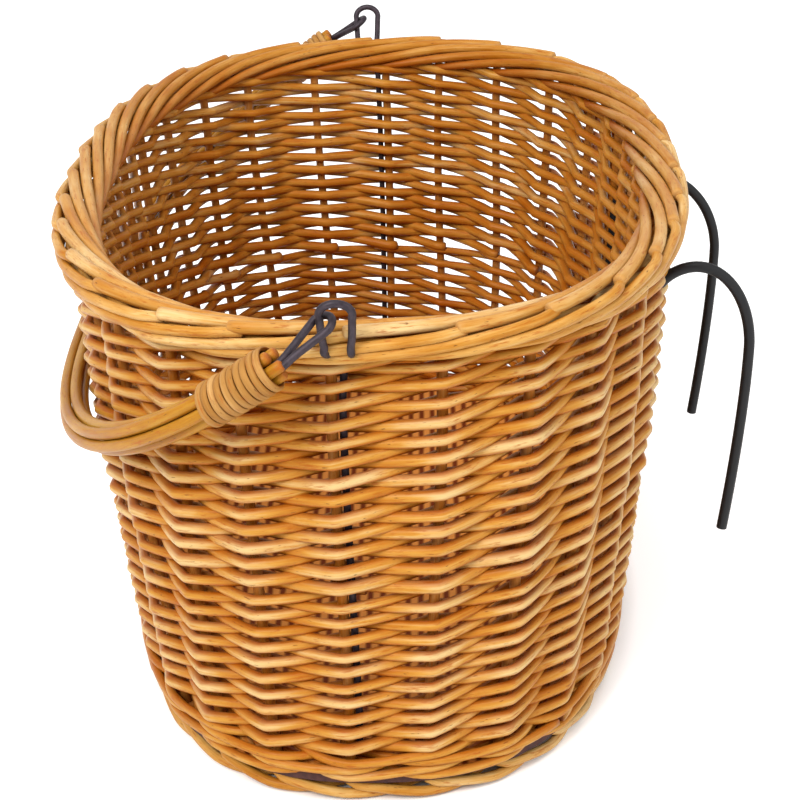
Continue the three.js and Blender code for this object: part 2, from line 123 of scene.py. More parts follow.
# Wires
WIRE_RADIUS = 1.5
WIRE_STAKE_GAP = 0.5
NEAR_WIRE_X = -9.4
FAR_WIRE_X = 0.0
STAPLE_X = -7.5
STAPLE_RADIUS = 6.0
STAPLE_LEG_HALF = 4.8
STAPLE_RISE = 10.0
STAPLE_INSET = 4.5
STAPLE_LEAN = math.radians(18)
STAPLE_OUT = 4.8
STAPLE_CROWN = 5.1
STAPLE_SHOULDER = 1.12
LONG_LEG_BOTTOM = 22.5
SHORT_LEG_DEPTH = 11.0
SHORT_LEG_INSET = 2.5

# Handle, with how much later and earlier each of its rods starts and ends than the others
ROD_ENDS = [(1.4, 1.2), (2.8, 0.5), (-0.3, 1.0), (2.0, -0.9), (0.6, 2.0)]
HANDLE_ROD_RADIUS = 2.4
HANDLE_WALL_GAP = 0.8
HANDLE_START = 11.0
HANDLE_SHOULDER_GAP = 13.0
HANDLE_POWER = 2.35
HANDLE_ROD_START = 13.0
HANDLE_REST_ANGLE = math.radians(36)
EYE_HALF_WIDTH = 5.2
EYE_SHANK_LENGTH = 22.0
EYE_TURN = math.radians(20)
EYE_PLAY = 0.7
EYE_RAISE = 1.0
CANE_TURNS = 10
CANE_WIDTH = 3.05
CANE_THICKNESS = 1.5
CANE_PITCH = 3.0
CANE_START = 4.4
CANE_PLAY = 0.5

# Section of the cane strip, in shares of its half width and half thickness
CANE_PROFILE = [
    (-1.0, -0.7), (-0.9, 0.35), (-0.62, 0.85), (0.0, 1.0), (0.62, 0.85), (0.9, 0.35),
    (1.0, -0.7), (0.0, -0.8)]

# Handlebar hooks
HOOK_RADIUS = 2.4
HOOK_SPACING = 134.0
HOOK_SHANK_LENGTH = 70.0
HOOK_CROWN_Z = 186.0
HOOK_CROWN_RISE = 21.0
HOOK_CROWN_OUT = 20.0
HOOK_REACH = 44.5
HOOK_SHOULDER_DROP = 38.0
HOOK_TAIL_DROP = 90.0
HOOK_TIP_TUCK = 8.0
FAR_HOOK_DROP = 6.0
FAR_HOOK_REACH = 5.0

# The photograph's view in mm, with the focal length and optical axis in pixels
CAMERA_AZIMUTH = math.radians(1.915)
CAMERA_ELEVATION = math.radians(24.374)
CAMERA_ROLL = math.radians(-1.754)
CAMERA_DISTANCE = 928.4
CAMERA_AIM_Z = 109
FOCAL_PIXELS = 1934.5
PHOTO_PIXELS = 800
OPTICAL_AXIS = (378.5, 370.6)
SENSOR_WIDTH = 36

# Floor and light, in metres and watts: the oval that keeps the shadow as one over its half axes,
# and each lamp's name, place, size and power
FLOOR_HALF_SIZE = 6.0
FLOOR_DROP = 0.0005
FLOOR_GREY = 0.93
FLOOR_GLOW = 0.42
SHADOW_OVAL = (8.9, 5.25, 0.0)
SHADOW_FADE = 1.12
WORLD_LIGHT = 0.6
LAMP_TARGET = (0, 0, 0.11)
LAMPS = [
    ("key", (-0.8, -1.3, 1.4), 0.8, 31),
    ("fill", (1.3, -0.9, 0.9), 1.2, 9),
    ("top", (0.0, -0.4, 1.9), 1.2, 14)]

board_bottom = FOOT_HEIGHT + GAP
board_top = board_bottom + BOARD_THICKNESS
rim_bottom = BASKET_HEIGHT - RIM_HEIGHT
board_low, board_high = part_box("base_board")
centre_x = 500 * (board_low.x + board_high.x)


# The stakes' centre line: an oval that grows from the foot to the rim with a slight belly
def oval_at(z):
    t = np.clip((z - board_bottom) / (rim_bottom - board_bottom), 0, 1)
    belly = WALL_BULGE * 4 * t * (1 - t)
    foot_x = FOOT_DEPTH / 2 - STAKE_FOOT_INSET
    foot_y = FOOT_LENGTH / 2 - STAKE_FOOT_INSET
    top_x = RIM_DEPTH / 2 - STAKE_RIM_INSET
    top_y = RIM_LENGTH / 2 - STAKE_RIM_INSET
    return foot_x + (top_x - foot_x) * t + belly, foot_y + (top_y - foot_y) * t + belly


def oval_point(half_x, half_y, angle):
    c, s = np.cos(angle), np.sin(angle)
    scale = (np.abs(c) ** OVAL_POWER + np.abs(s) ** OVAL_POWER) ** (-1 / OVAL_POWER)
    return half_x * c * scale, half_y * s * scale


arc_angles = np.linspace(-math.pi / 2, 1.5 * math.pi, 5761)
arc_x, arc_y = oval_point(*oval_at(rim_bottom), arc_angles)
arc_lengths = np.concatenate([[0], np.cumsum(np.hypot(np.diff(arc_x), np.diff(arc_y)))])
oval_length = arc_lengths[-1]


def wall_point(length, z, offset=0.0):
    """Points beside the stakes' centre line: length along the oval, height, outward offset."""
    length, z, offset = np.broadcast_arrays(
        np.asarray(length, float), np.asarray(z, float), np.asarray(offset, float))
    angle = np.interp(np.mod(length, oval_length), arc_lengths, arc_angles)
    half_x, half_y = oval_at(z)
    x, y = oval_point(half_x, half_y, angle)
    ax, ay = oval_point(half_x, half_y, angle + 0.002)
    bx, by = oval_point(half_x, half_y, angle - 0.002)
    tx, ty = ax - bx, ay - by
    size = np.hypot(tx, ty)
    return np.stack([x + ty / size * offset + centre_x, y - tx / size * offset, z], -1)


# A stake stands beside the long leg of each carrying wire, the others evenly between
pivot_x = STAPLE_X
pivot_z = BASKET_HEIGHT + STAPLE_RISE
staple_y = RIM_LENGTH / 2 - STAPLE_INSET
wire_beside_stake = STAKE_RADIUS + WIRE_RADIUS + WIRE_STAKE_GAP
near_stake = NEAR_WIRE_X - wire_beside_stake
far_stake = oval_length / 2 - (FAR_WIRE_X + wire_beside_stake)
far_number = STAKE_COUNT / 2


def stake_length(k):
    """Length along the oval of stake k, counted from the near end towards +X."""
    k = np.asarray(k, float)
    turns = np.floor(k / STAKE_COUNT)
    rest = k - turns * STAKE_COUNT
    return turns * oval_length + np.interp(
        rest, [0, far_number, STAKE_COUNT], [near_stake, far_stake, near_stake + oval_length])


def sway(k, z):
    """Sideways wander of the stakes, and of the weave and the wires that follow them."""
    k = np.mod(np.asarray(k, float), STAKE_COUNT)
    wave = 0.9 * np.sin(2.1 * k + z / 55 + 0.6) + 0.6 * np.sin(3.3 * k - z / 40 + 2.0)
    fade = np.clip((rim_bottom + 4 - z) / 30, 0, 1) * np.clip(z / 40, 0.2, 1)
    return wave * fade + np.interp(k, *STAKE_WANDER) * np.clip(0.35 + z / 250, 0.35, 1)


def lift(k, z):
    """Gentle rise and fall that neighbouring rows share."""
    turn = np.asarray(k, float) / STAKE_COUNT * 2 * np.pi
    wave = 0.7 * np.sin(3 * turn + z / 31 + 1.0) + 0.5 * np.sin(7 * turn - z / 23)
    return wave * np.clip((z - 14) / 12, 0, 1) * np.clip((rim_bottom - z) / 12, 0, 1)


# Sweeps
def resample(points, step):
    """Points at even spacing on a smooth curve through the given points."""
    points = np.asarray(points, float)
    spans = np.linalg.norm(np.diff(points, axis=0), axis=1)
    knots = np.concatenate([[0], np.cumsum(np.sqrt(spans))])
    inner = np.zeros_like(points)
    inner[1:-1] = (points[2:] - points[:-2]) / (knots[2:] - knots[:-2])[:, None]
    inner[0] = (points[1] - points[0]) / (knots[1] - knots[0])
    inner[-1] = (points[-1] - points[-2]) / (knots[-1] - knots[-2])
    out = []
    for i in range(len(points) - 1):
        h = knots[i + 1] - knots[i]
        count = max(1, int(round(spans[i] / step)))
        t = (np.arange(count) / count)[:, None]
        a = 2 * t**3 - 3 * t**2 + 1
        b = t**3 - 2 * t**2 + t
        c = -2 * t**3 + 3 * t**2
        d = t**3 - t**2
        out.append(a * points[i] + b * h * inner[i] + c * points[i + 1] + d * h * inner[i + 1])
    out.append(points[-1:])
    return np.concatenate(out)


def frames(path, first_side):
    """Side and up directions carried along a path without twist."""
    along = np.gradient(path, axis=0)
    along /= np.linalg.norm(along, axis=1)[:, None]
    sides = np.zeros_like(path)
    side = np.asarray(first_side, float)
    for i, direction in enumerate(along):
        side = side - direction * side.dot(direction)
        side = side / np.linalg.norm(side)
        sides[i] = side
    return along, sides, np.cross(along, sides)


def crease_shade_mask(values):
    """0 to 1 as the cosine round a rod goes from the side towards the row above or below: the mask
    of the painted shade where neighbouring rows meet.
    """
    return np.clip((values - 0.35) / 0.55, 0, 1)


def swept(name, path, radii, sides=10, tone=0.5, first_side=(0, 0, 1), cut=(1.0, 1.0), shade=None,
          crease_shade=0.0, wear_and_highlight=0.0, lit=0.3):
    """A tube with cut ends: cut 1 is a flat cut, 0 a pointed end.

    shade and the crease argument darken it with painted shade, along its length and towards the
    rows above and below it. lit takes the painted shade between the rows off its upper side, and
    the wear argument makes it paler, partly as wear and partly as a painted highlight; both vary
    along its length.
    """
    path = np.asarray(path, float)
    radii = np.broadcast_to(np.asarray(radii, float), len(path)).copy()
    along, side, up = frames(path, first_side)
    turn = np.arange(sides) / sides * 2 * np.pi
    ring = np.stack([np.cos(turn), np.sin(turn)], -1)
    rows = (path[:, None, :]
            + radii[:, None, None] * ring[None, :, :1] * side[:, None, :]
            + radii[:, None, None] * ring[None, :, 1:] * up[:, None, :])
    ends = []
    for at, sign, share in ((0, -1, cut[0]), (-1, 1, cut[1])):
        bevel = radii[at] * 0.28
        inner = (path[at] + along[at] * sign * bevel)[None] + (rows[at] - path[at]) * (
            0.72 * share + 0.1 * (1 - share))
        tip = path[at] + along[at] * sign * bevel * (1.05 + (1 - share) * 1.5)
        ends.append((inner, tip))
    verts = np.concatenate([
        ends[0][1][None], ends[0][0], rows.reshape(-1, 3), ends[1][0], ends[1][1][None]])

    # One ring of points more at each end than the path has, between the two tips
    j = np.arange(sides)
    k = (j + 1) % sides
    first = 1 + sides * np.arange(len(path) + 1)[:, None]
    quads = np.stack([first + j, first + k, first + sides + k, first + sides + j], -1)
    last = len(verts) - 1
    base = last - sides
    faces = quads.reshape(-1, 4).tolist()
    faces += [(0, 1 + int(q), 1 + int(p)) for p, q in zip(j, k)]
    faces += [(last, base + int(p), base + int(q)) for p, q in zip(j, k)]

    lengths = np.concatenate([[0], np.cumsum(np.linalg.norm(np.diff(path, axis=0), axis=1))])
    run = np.concatenate([[lengths[0]], lengths, [lengths[-1]]])
    thick = np.concatenate([[radii[0]], radii, [radii[-1]]])
    grain = np.zeros((len(verts), 3))
    grain[1:-1, 0] = np.repeat(run, sides)
    grain[1:-1, 1] = (thick[:, None] * ring[None, :, 0]).ravel()
    grain[1:-1, 2] = (thick[:, None] * ring[None, :, 1]).ravel()
    grain[-1, 0] = lengths[-1]
    grain[:, 0] += tone * 7919 % 997
    grain[:, 1] += tone * 6101 % 41

    end_marks = np.zeros(len(verts))
    for edge, strength in ((1 + 2 * sides, 0.5), (1 + sides, 1.0)):
        end_marks[:edge] = end_marks[-edge:] = strength
    shades = np.zeros(len(verts))
    if shade is not None:
        shade = np.broadcast_to(np.asarray(shade, float), len(path))
        taken = np.broadcast_to(np.asarray(lit, float), len(path))
        # Painted shade towards the rows above and below, less on the lit upper side
        painted_crease = (crease_shade * crease_shade_mask(-np.cos(turn))[None, :]
                  + crease_shade * crease_shade_mask(np.cos(turn))[None, :] * (1 - taken[:, None]))
        rings = np.clip(shade[:, None] + painted_crease, 0, 1)
        shades[1:-1] = np.concatenate([rings[:1], rings, rings[-1:]]).ravel()
        shades[0], shades[-1] = shade[0], shade[-1]
    tones = np.full(len(verts), tone)
    # Paler tones along the rod: partly wear, partly a painted highlight
    tones[1 + sides:-1 - sides] += np.repeat(np.broadcast_to(wear_and_highlight, len(path)), sides)
    return new_piece(name, verts, faces, grain, np.stack([tones, end_marks, shades], -1))


def new_piece(name, verts, faces, grain, look):
    """An object from points in mm, with its grain and its look: tone, end mark and painted shade.
    """
    mesh = bpy.data.meshes.new(name)
    mesh.from_pydata((verts / 1000).tolist(), [], faces)
    set_vectors(mesh, "grain", grain)
    set_vectors(mesh, "look", look)
    mesh.polygons.foreach_set("use_smooth", [True] * len(mesh.polygons))
    mesh.validate()
    piece = bpy.data.objects.new(name, mesh)
    bpy.context.scene.collection.objects.link(piece)
    return piece


def set_vectors(mesh, name, values):
    attribute = mesh.attributes.new(name, "FLOAT_VECTOR", "POINT")
    attribute.data.foreach_set("vector", np.asarray(values, np.float32).ravel())


def finish_piece(piece, material, body, slot, *nodes):
    """Gives a piece its look and the body it rides, and hides the nodes it replaces. The slot
    argument is not used.
    """
    piece.data.materials.append(material)
    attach(piece, body)
    if nodes:
        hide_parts(*nodes)


# Materials
class Nodes:
    """Short helper for wiring a material's nodes."""

    def __init__(self, name):
        self.material = bpy.data.materials.new(name)
        self.material.use_nodes = True
        self.tree = self.material.node_tree
        self.shader = self.tree.nodes["Principled BSDF"]

    def add(self, kind, **values):
        node = self.tree.nodes.new(kind)
        for key, value in values.items():
            if key in node.inputs:
                node.inputs[key].default_value = value
            else:
                setattr(node, key, value)
        return node

    def link(self, source, target):
        self.tree.links.new(source, target)

    def vector(self, name):
        return self.add("ShaderNodeAttribute", attribute_name=name).outputs["Vector"]

    def scaled(self, source, scale):
        node = self.add("ShaderNodeVectorMath", operation="MULTIPLY")
        self.link(source, node.inputs[0])
        node.inputs[1].default_value = scale
        return node.outputs[0]

    def noise(self, vector, scale, detail=3.0, rough=0.55):
        node = self.add("ShaderNodeTexNoise")
        node.inputs["Scale"].default_value = scale
        node.inputs["Detail"].default_value = detail
        node.inputs["Roughness"].default_value = rough
        self.link(vector, node.inputs["Vector"])
        return node.outputs["Fac"]

    def remap(self, value, low, high, to_low=0.0, to_high=1.0):
        node = self.add("ShaderNodeMapRange")
        self.link(value, node.inputs["Value"])
        node.inputs["From Min"].default_value = low
        node.inputs["From Max"].default_value = high
        node.inputs["To Min"].default_value = to_low
        node.inputs["To Max"].default_value = to_high
        return node.outputs["Result"]

    def ramp(self, value, stops):
        node = self.add("ShaderNodeValToRGB")
        elements = node.color_ramp.elements
        while len(elements) < len(stops):
            elements.new(0.5)
        for element, (place, color) in zip(elements, stops):
            element.position = place
            element.color = (*color, 1)
        self.link(value, node.inputs["Fac"])
        return node.outputs["Color"]

    def mix(self, factor, a, b, blend="MIX"):
        node = self.add("ShaderNodeMix", data_type="RGBA", blend_type=blend)
        for value, socket in ((factor, node.inputs[0]), (a, node.inputs[6]), (b, node.inputs[7])):
            if isinstance(value, bpy.types.NodeSocket):
                self.link(value, socket)
            elif isinstance(value, (int, float)):
                socket.default_value = value
            else:
                socket.default_value = (*value, 1)
        return node.outputs[2]

    def maths(self, operation, a, b):
        node = self.add("ShaderNodeMath", operation=operation)
        for value, socket in ((a, node.inputs[0]), (b, node.inputs[1])):
            if isinstance(value, bpy.types.NodeSocket):
                self.link(value, socket)
            else:
                socket.default_value = value
        return node.outputs[0]

    def bump(self, height, strength, distance):
        node = self.add("ShaderNodeBump")
        node.inputs["Strength"].default_value = strength
        node.inputs["Distance"].default_value = distance
        self.link(height, node.inputs["Height"])
        self.link(node.outputs["Normal"], self.shader.inputs["Normal"])


def willow(name, stops, inner, ends=(0.62, 0.4, 0.2), rough=0.42, coat=0.06):
    """Varnished willow: tone by rod, grain streaks along it, rusty patches, dark specks.

    stops are its colours from the darkest tone to the palest, inner that of its painted shade and
    ends that of its cut ends.
    """
    n = Nodes(name)
    grain = n.vector("grain")
    look = n.add("ShaderNodeSeparateXYZ")
    n.link(n.vector("look"), look.inputs[0])
    streak = n.noise(n.scaled(grain, (0.05, 1.1, 1.1)), 1.0, 4.0, 0.6)
    patch = n.noise(n.scaled(grain, (0.012, 0.05, 0.05)), 2.2, 3.0, 0.6)
    tone = n.maths("ADD", look.outputs[0], n.remap(patch, 0.3, 0.7, -0.28, 0.28))
    tone = n.maths("ADD", tone, n.remap(streak, 0.3, 0.7, -0.16, 0.16))
    color = n.ramp(tone, stops)
    rust = n.noise(n.scaled(grain, (0.07, 0.45, 0.45)), 1.7, 3.0, 0.65)
    color = n.mix(n.remap(rust, 0.56, 0.70, 0.0, 0.75), color, (0.33, 0.075, 0.005))
    speck = n.noise(n.scaled(grain, (0.28, 1.5, 1.5)), 1.0, 2.0, 0.5)
    speck = n.remap(speck, 0.68, 0.74)
    color = n.mix(n.maths("MULTIPLY", speck, 0.8), color, (0.09, 0.022, 0.004))
    # Painted shade: the look's third value mixes in the inner colour
    color = n.mix(look.outputs[2], color, inner)
    color = n.mix(look.outputs[1], color, ends)
    n.link(color, n.shader.inputs["Base Color"])
    n.link(n.remap(streak, 0.3, 0.7, rough - 0.07, rough + 0.1), n.shader.inputs["Roughness"])
    n.shader.inputs["Specular Tint"].default_value = (1.0, 0.7, 0.36, 1)
    n.shader.inputs["Specular IOR Level"].default_value = 0.22
    n.shader.inputs["Coat Weight"].default_value = coat
    n.shader.inputs["Coat Roughness"].default_value = 0.28
    n.bump(n.maths("ADD", streak, n.maths("MULTIPLY", speck, -0.6)), 0.35, 0.0006)
    return n.material


def coated_metal(name, color, metallic, rough, spots):
    """Dark coating with a slightly paler mottle."""
    n = Nodes(name)
    grain = n.vector("grain")
    noise = n.noise(n.scaled(grain, (0.3, 0.5, 0.5)), 1.0, 4.0, 0.6)
    n.link(n.ramp(noise, [(0.35, color), (0.62, spots)]), n.shader.inputs["Base Color"])
    n.link(n.remap(noise, 0.3, 0.7, rough - 0.08, rough + 0.12), n.shader.inputs["Roughness"])
    n.shader.inputs["Metallic"].default_value = metallic
    n.shader.inputs["Specular IOR Level"].default_value = 0.28
    n.bump(n.noise(n.scaled(grain, (1.2, 1.2, 1.2)), 1.0, 3.0, 0.6), 0.2, 0.0003)
    return n.material


GOLD = [(0.0, (0.34, 0.090, 0.004)), (0.3, (0.42, 0.155, 0.013)), (0.6, (0.50, 0.235, 0.036)),
        (1.0, (0.61, 0.42, 0.18))]
PALE = [(0.0, (0.34, 0.11, 0.005)), (0.3, (0.44, 0.185, 0.024)), (0.6, (0.54, 0.29, 0.075)),
        (1.0, (0.68, 0.49, 0.23))]
OCHRE = [(0.0, (0.22, 0.065, 0.002)), (0.3, (0.30, 0.108, 0.005)), (0.6, (0.37, 0.155, 0.010)),
         (1.0, (0.46, 0.24, 0.03))]
CANE = [(0.0, (0.26, 0.10, 0.014)), (0.5, (0.35, 0.165, 0.040)), (1.0, (0.50, 0.28, 0.10))]
weave_look = willow("willow_weave", GOLD, (0.33, 0.060, 0.001), ends=(0.17, 0.045, 0.010))
border_look = willow("willow_border", PALE, (0.30, 0.062, 0.002), ends=(0.45, 0.23, 0.07),
                     rough=0.44)
handle_look = willow("willow_handle", OCHRE, (0.30, 0.08, 0.01), ends=(0.36, 0.10, 0.015),
                     rough=0.4)
cane_look = willow("cane", CANE, (0.16, 0.035, 0.002), rough=0.5, coat=0.0)
wire_look = coated_metal("dark_wire", (0.022, 0.016, 0.021), 0.4, 0.48, (0.05, 0.037, 0.046))
hook_look = coated_metal("black_rod", (0.004, 0.004, 0.005), 0.0, 0.52, (0.009, 0.009, 0.01))


def inside_shade(offset, z):
    """How much painted shade, darker and redder, a rod has at an outward offset and height: more
    inward and lower down.
    """
    return np.clip(0.4 - np.asarray(offset) / 6.0, 0, 1) * np.clip(0.62 - z / 380, 0.1, 1)


# Rods of the weave
def zigzag(phase):
    """Even triangle wave with softened corners: 1 at whole even numbers, -1 at odd ones."""
    return np.arcsin(CORNER_SHARPNESS * np.cos(np.pi * phase)) / math.asin(CORNER_SHARPNESS)


def rod_tone(spread=0.09, middle=0.5):
    return float(np.clip(middle + spread * rng.standard_normal(), 0.08, 0.95))


def covered(z):
    """The courses of the solid model that lie at the heights of a rod."""
    names = []
    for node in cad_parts:
        if node.startswith("weave_course"):
            low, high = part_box(node)
            if high.z * 1000 > z.min() and low.z * 1000 < z.max():
                names.append(node)
    return names


def rand_rod(name, first, base_z, rows, pitch, radius, overrun, tone):
    """One rod of the randing: starts inside stake first and climbs a row at each stake."""
    steps = np.array([0, 0.02, 0.05, 0.11, 0.24, 0.5, 0.76, 0.89, 0.95, 0.98])
    phase = (np.arange(-1, rows + 1)[:, None] + steps).ravel()
    phase = phase[(phase > -0.2) & (phase < rows + overrun)]
    thick = radius * (ROD_BUTT - ROD_TAPER * phase / rows) * (1 + 0.05 * rng.standard_normal())
    k = first + phase
    z = base_z + pitch * phase
    reach = STAKE_RADIUS + thick * 1.2
    wobble = ROD_WOBBLE * np.sin(0.9 * phase + rng.uniform(0, 6.3))
    offset = -reach * zigzag(phase) * (1 + 0.05 * np.sin(1.3 * phase + rng.uniform(0, 6.3)))
    z = z + lift(k, z) + wobble * np.clip(phase / 2, 0, 1) * np.clip((rows - phase) / 2, 0, 1)
    path = wall_point(stake_length(k) + sway(k, z), z, offset)
    out = offset / reach
    # Painted shade on the inner side, lower down and between the rows; paler where the rod bulges
    # outward, partly wear and partly a painted highlight
    piece = swept(name, path, thick, 10, tone, shade=inside_shade(offset, z), crease_shade=0.85,
                  wear_and_highlight=0.3 * np.clip(out, -0.3, 1), lit=np.clip(0.45 - out * 0.5, 0, 1))
    finish_piece(piece, weave_look, "basket", "willow_weave", *covered(z))


for band, *sizes in RAND_BANDS:
    for k in range(STAKE_COUNT):
        rand_rod(f"{band}_rod_{k + 1:02d}", k, *sizes, rod_tone())


# Wale: each rod passes outside two stakes and inside the third, and rests on the rods below it
def wale_rod(row):
    stake = np.arange(STAKE_COUNT + 1)
    inside = (stake + row) % WALE_SPAN == 0
    below = sum(((stake + other) % WALE_SPAN != 0).astype(float) for other in range(row))
    out = np.where(inside, -(STAKE_RADIUS + WALE_RADIUS * 0.9), WALE_OUT)
    height = WALE_START + below * WALE_PITCH
    height = np.where(inside, np.maximum(height, board_top + WALE_RADIUS), height)
    k = np.arange(0, STAKE_COUNT, 1 / 10)
    blend = np.mod(k, 1)
    blend = blend - 0.09 * np.sin(2 * np.pi * blend)
    low = np.floor(k).astype(int)
    offset = out[low] + (out[low + 1] - out[low]) * blend
    z = height[low] + (height[low + 1] - height[low]) * blend
    path = wall_point(stake_length(k) + sway(k, z), z, offset)
    start = int(rng.integers(0, len(k)))
    path = np.roll(path, start, axis=0)
    # Painted shade on the inner side and between the rows
    piece = swept(f"wale_rod_{row + 1}", path, WALE_RADIUS, 10, rod_tone(),
                  shade=inside_shade(np.roll(offset, start), np.roll(z, start)), crease_shade=0.8)
    finish_piece(piece, weave_look, "basket", "willow_weave", "bottom_wale")


for row in range(WALE_ROWS):
    wale_rod(row)


# Borders
def station_path(stations):
    """Smooth path in the wall through rows of stake number, outward offset and height."""
    stakes, offset, z = stations.T
    return resample(wall_point(stake_length(stakes) + sway(stakes, z), z, offset), 2.6)


def crossing_rod(k):
    """A cut rod laid over the border, with painted shade where it goes down behind the wall's top.
    """
    stations = np.array(CROSSING_STATIONS)
    stations[:, 0] += k
    stations[0, 0] += 0.05 * rng.standard_normal()
    count = len(stations)
    stations[:, 1] += 0.4 * rng.standard_normal() * np.sin(np.linspace(0.3, 4.0, count))
    stations[:, 2] += 0.35 * rng.standard_normal() * np.sin(np.linspace(0.6, 4.5, count))
    path = station_path(stations)
    share = np.linspace(0, 1, len(path))
    thick = BORDER_RADIUS * np.interp(share, [0, 0.7, 1], [1.1, 1, 0.8])
    # Darker tones towards the far side: painted shade of the far border
    far_shade = np.clip(path[len(path) // 2][1] / 120, 0, 1)
    piece = swept(f"border_rod_{k + 1:02d}", path, thick, 12,
                  rod_tone(0.14 - 0.1 * far_shade, 0.56 - 0.24 * far_shade),
                  shade=np.interp(share, [0.5, 0.78, 1], [0.0, 0.45, 1.0]), crease_shade=0.3,
                  cut=(1.0, 0.9))
    finish_piece(piece, border_look, "basket", "willow_border", "rim_border")


def stake_rod(k):
    """A stake with both its ends woven into the borders, each a little uneven at the top."""
    stations = [(k + s, u, z) for s, u, z in FOOT_STATIONS]
    stations += [(k, 0.0, z) for z in np.linspace(16, 196, 13)]
    stations += [(k + s, u, z) for s, u, z in TOP_STATIONS]
    stations = np.array(stations)
    uneven = 0.35 * rng.standard_normal(2)
    top = stations[:, 2] > 205
    reach = np.clip(stations[:, 0] - k, 0, 4.2)
    stations[top, 1] += uneven[0] * np.sin(reach[top] * 1.3)
    stations[top, 2] += uneven[1] * np.sin(reach[top] * 1.1) * 0.5
    path = station_path(stations)
    height = path[:, 2]
    strand = BORDER_RADIUS - 0.25 * np.linspace(0, 1, len(path))
    thick = np.where(height > BORDER_HIGH_Z, strand, STAKE_RADIUS - 0.1)
    thick = np.where(height < BORDER_LOW_Z, FOOT_STRAND_RADIUS, thick)
    # Painted shade on the stake where it stands in the weave, between the rods
    shaded_in_weave = (height > board_top) & (height < BORDER_HIGH_Z)
    piece = swept(f"stake_rod_{k + 1:02d}", path, thick, 12, rod_tone(0.1, 0.52),
                  shade=np.where(shaded_in_weave, 0.6, 0.0))
    finish_piece(piece, border_look, "basket", "willow_border",
                 f"stake_{k + 1:02d}", "rim_border", "foot_border")


for k in range(STAKE_COUNT):
    crossing_rod(k)
for k in range(STAKE_COUNT):
    stake_rod(k)


# Base board
def build_board():
    """Gives the board its look: dark on its sides and underside, and warm bars on its top."""
    n = Nodes("dark_sided_board")
    coordinates = n.add("ShaderNodeTexCoord").outputs["Object"]
    streak = n.noise(n.scaled(coordinates, (60, 6, 60)), 6.0, 5.0, 0.6)
    dark = n.ramp(streak, [(0.3, (0.035, 0.014, 0.014)), (0.7, (0.085, 0.035, 0.028))])
    bars = n.add("ShaderNodeTexWave", wave_type="BANDS", bands_direction="X")
    bars.inputs["Scale"].default_value = 52
    bars.inputs["Distortion"].default_value = 0.6
    n.link(coordinates, bars.inputs["Vector"])
    warm = n.ramp(bars.outputs["Fac"], [(0.1, (0.15, 0.025, 0.002)), (0.75, (0.66, 0.25, 0.05))])
    facing = n.add("ShaderNodeSeparateXYZ")
    n.link(n.add("ShaderNodeNewGeometry").outputs["Normal"], facing.inputs[0])
    color = n.mix(n.remap(facing.outputs[2], 0.4, 0.6), dark, warm)
    n.link(color, n.shader.inputs["Base Color"])
    n.link(n.remap(streak, 0.3, 0.7, 0.6, 0.8), n.shader.inputs["Roughness"])
    n.shader.inputs["Specular IOR Level"].default_value = 0.2
    n.bump(bars.outputs["Fac"], 0.4, 0.0008)
    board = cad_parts["base_board"]
    board.data.materials.clear()
    board.data.materials.append(n.material)


build_board()


# Carrying wires with their staple loops
def carrying_wire(end):
    """Long leg beside a stake, then an omega loop that leans outward over the border."""
    stake = 0 if end < 0 else far_number
    levels = np.linspace(LONG_LEG_BOTTOM, rim_bottom - WIRE_RADIUS, 12)
    length = stake_length(stake) + wire_beside_stake + sway(stake, levels)
    points = list(wall_point(length, levels))
    foot_z = BASKET_HEIGHT - RIM_HEIGHT / 3
    loop_z = (pivot_z - foot_z) / math.cos(STAPLE_LEAN)

    def leaning(x, up):
        return (pivot_x + centre_x + x,
                end * (staple_y + STAPLE_OUT + up * math.sin(STAPLE_LEAN)),
                foot_z + up * math.cos(STAPLE_LEAN))

    legs = [(1, -3), (1, 0), (STAPLE_SHOULDER, 4)]
    for share, up in legs:
        points.append(leaning(end * STAPLE_LEG_HALF * share, up))
    for i in range(17):
        turn = -0.2 + i / 16 * (math.pi + 0.4)
        height = STAPLE_CROWN if turn > 0 else STAPLE_RADIUS
        points.append(leaning(end * STAPLE_RADIUS * math.cos(turn),
                              loop_z + height * math.sin(turn)))
    for share, up in reversed(legs):
        points.append(leaning(-end * STAPLE_LEG_HALF * share, up))
    points.append((pivot_x + centre_x - end * STAPLE_LEG_HALF,
                   end * (staple_y - SHORT_LEG_INSET), BASKET_HEIGHT - SHORT_LEG_DEPTH))
    return resample(points, 1.2)


for label, end in ENDS:
    piece = swept(f"staple_wire_{label}", carrying_wire(end), WIRE_RADIUS, 14, 0.3 + 0.1 * end,
                  first_side=(0, 1, 0))
    finish_piece(piece, wire_look, "basket", "wire", f"carrying_wire_{label}")


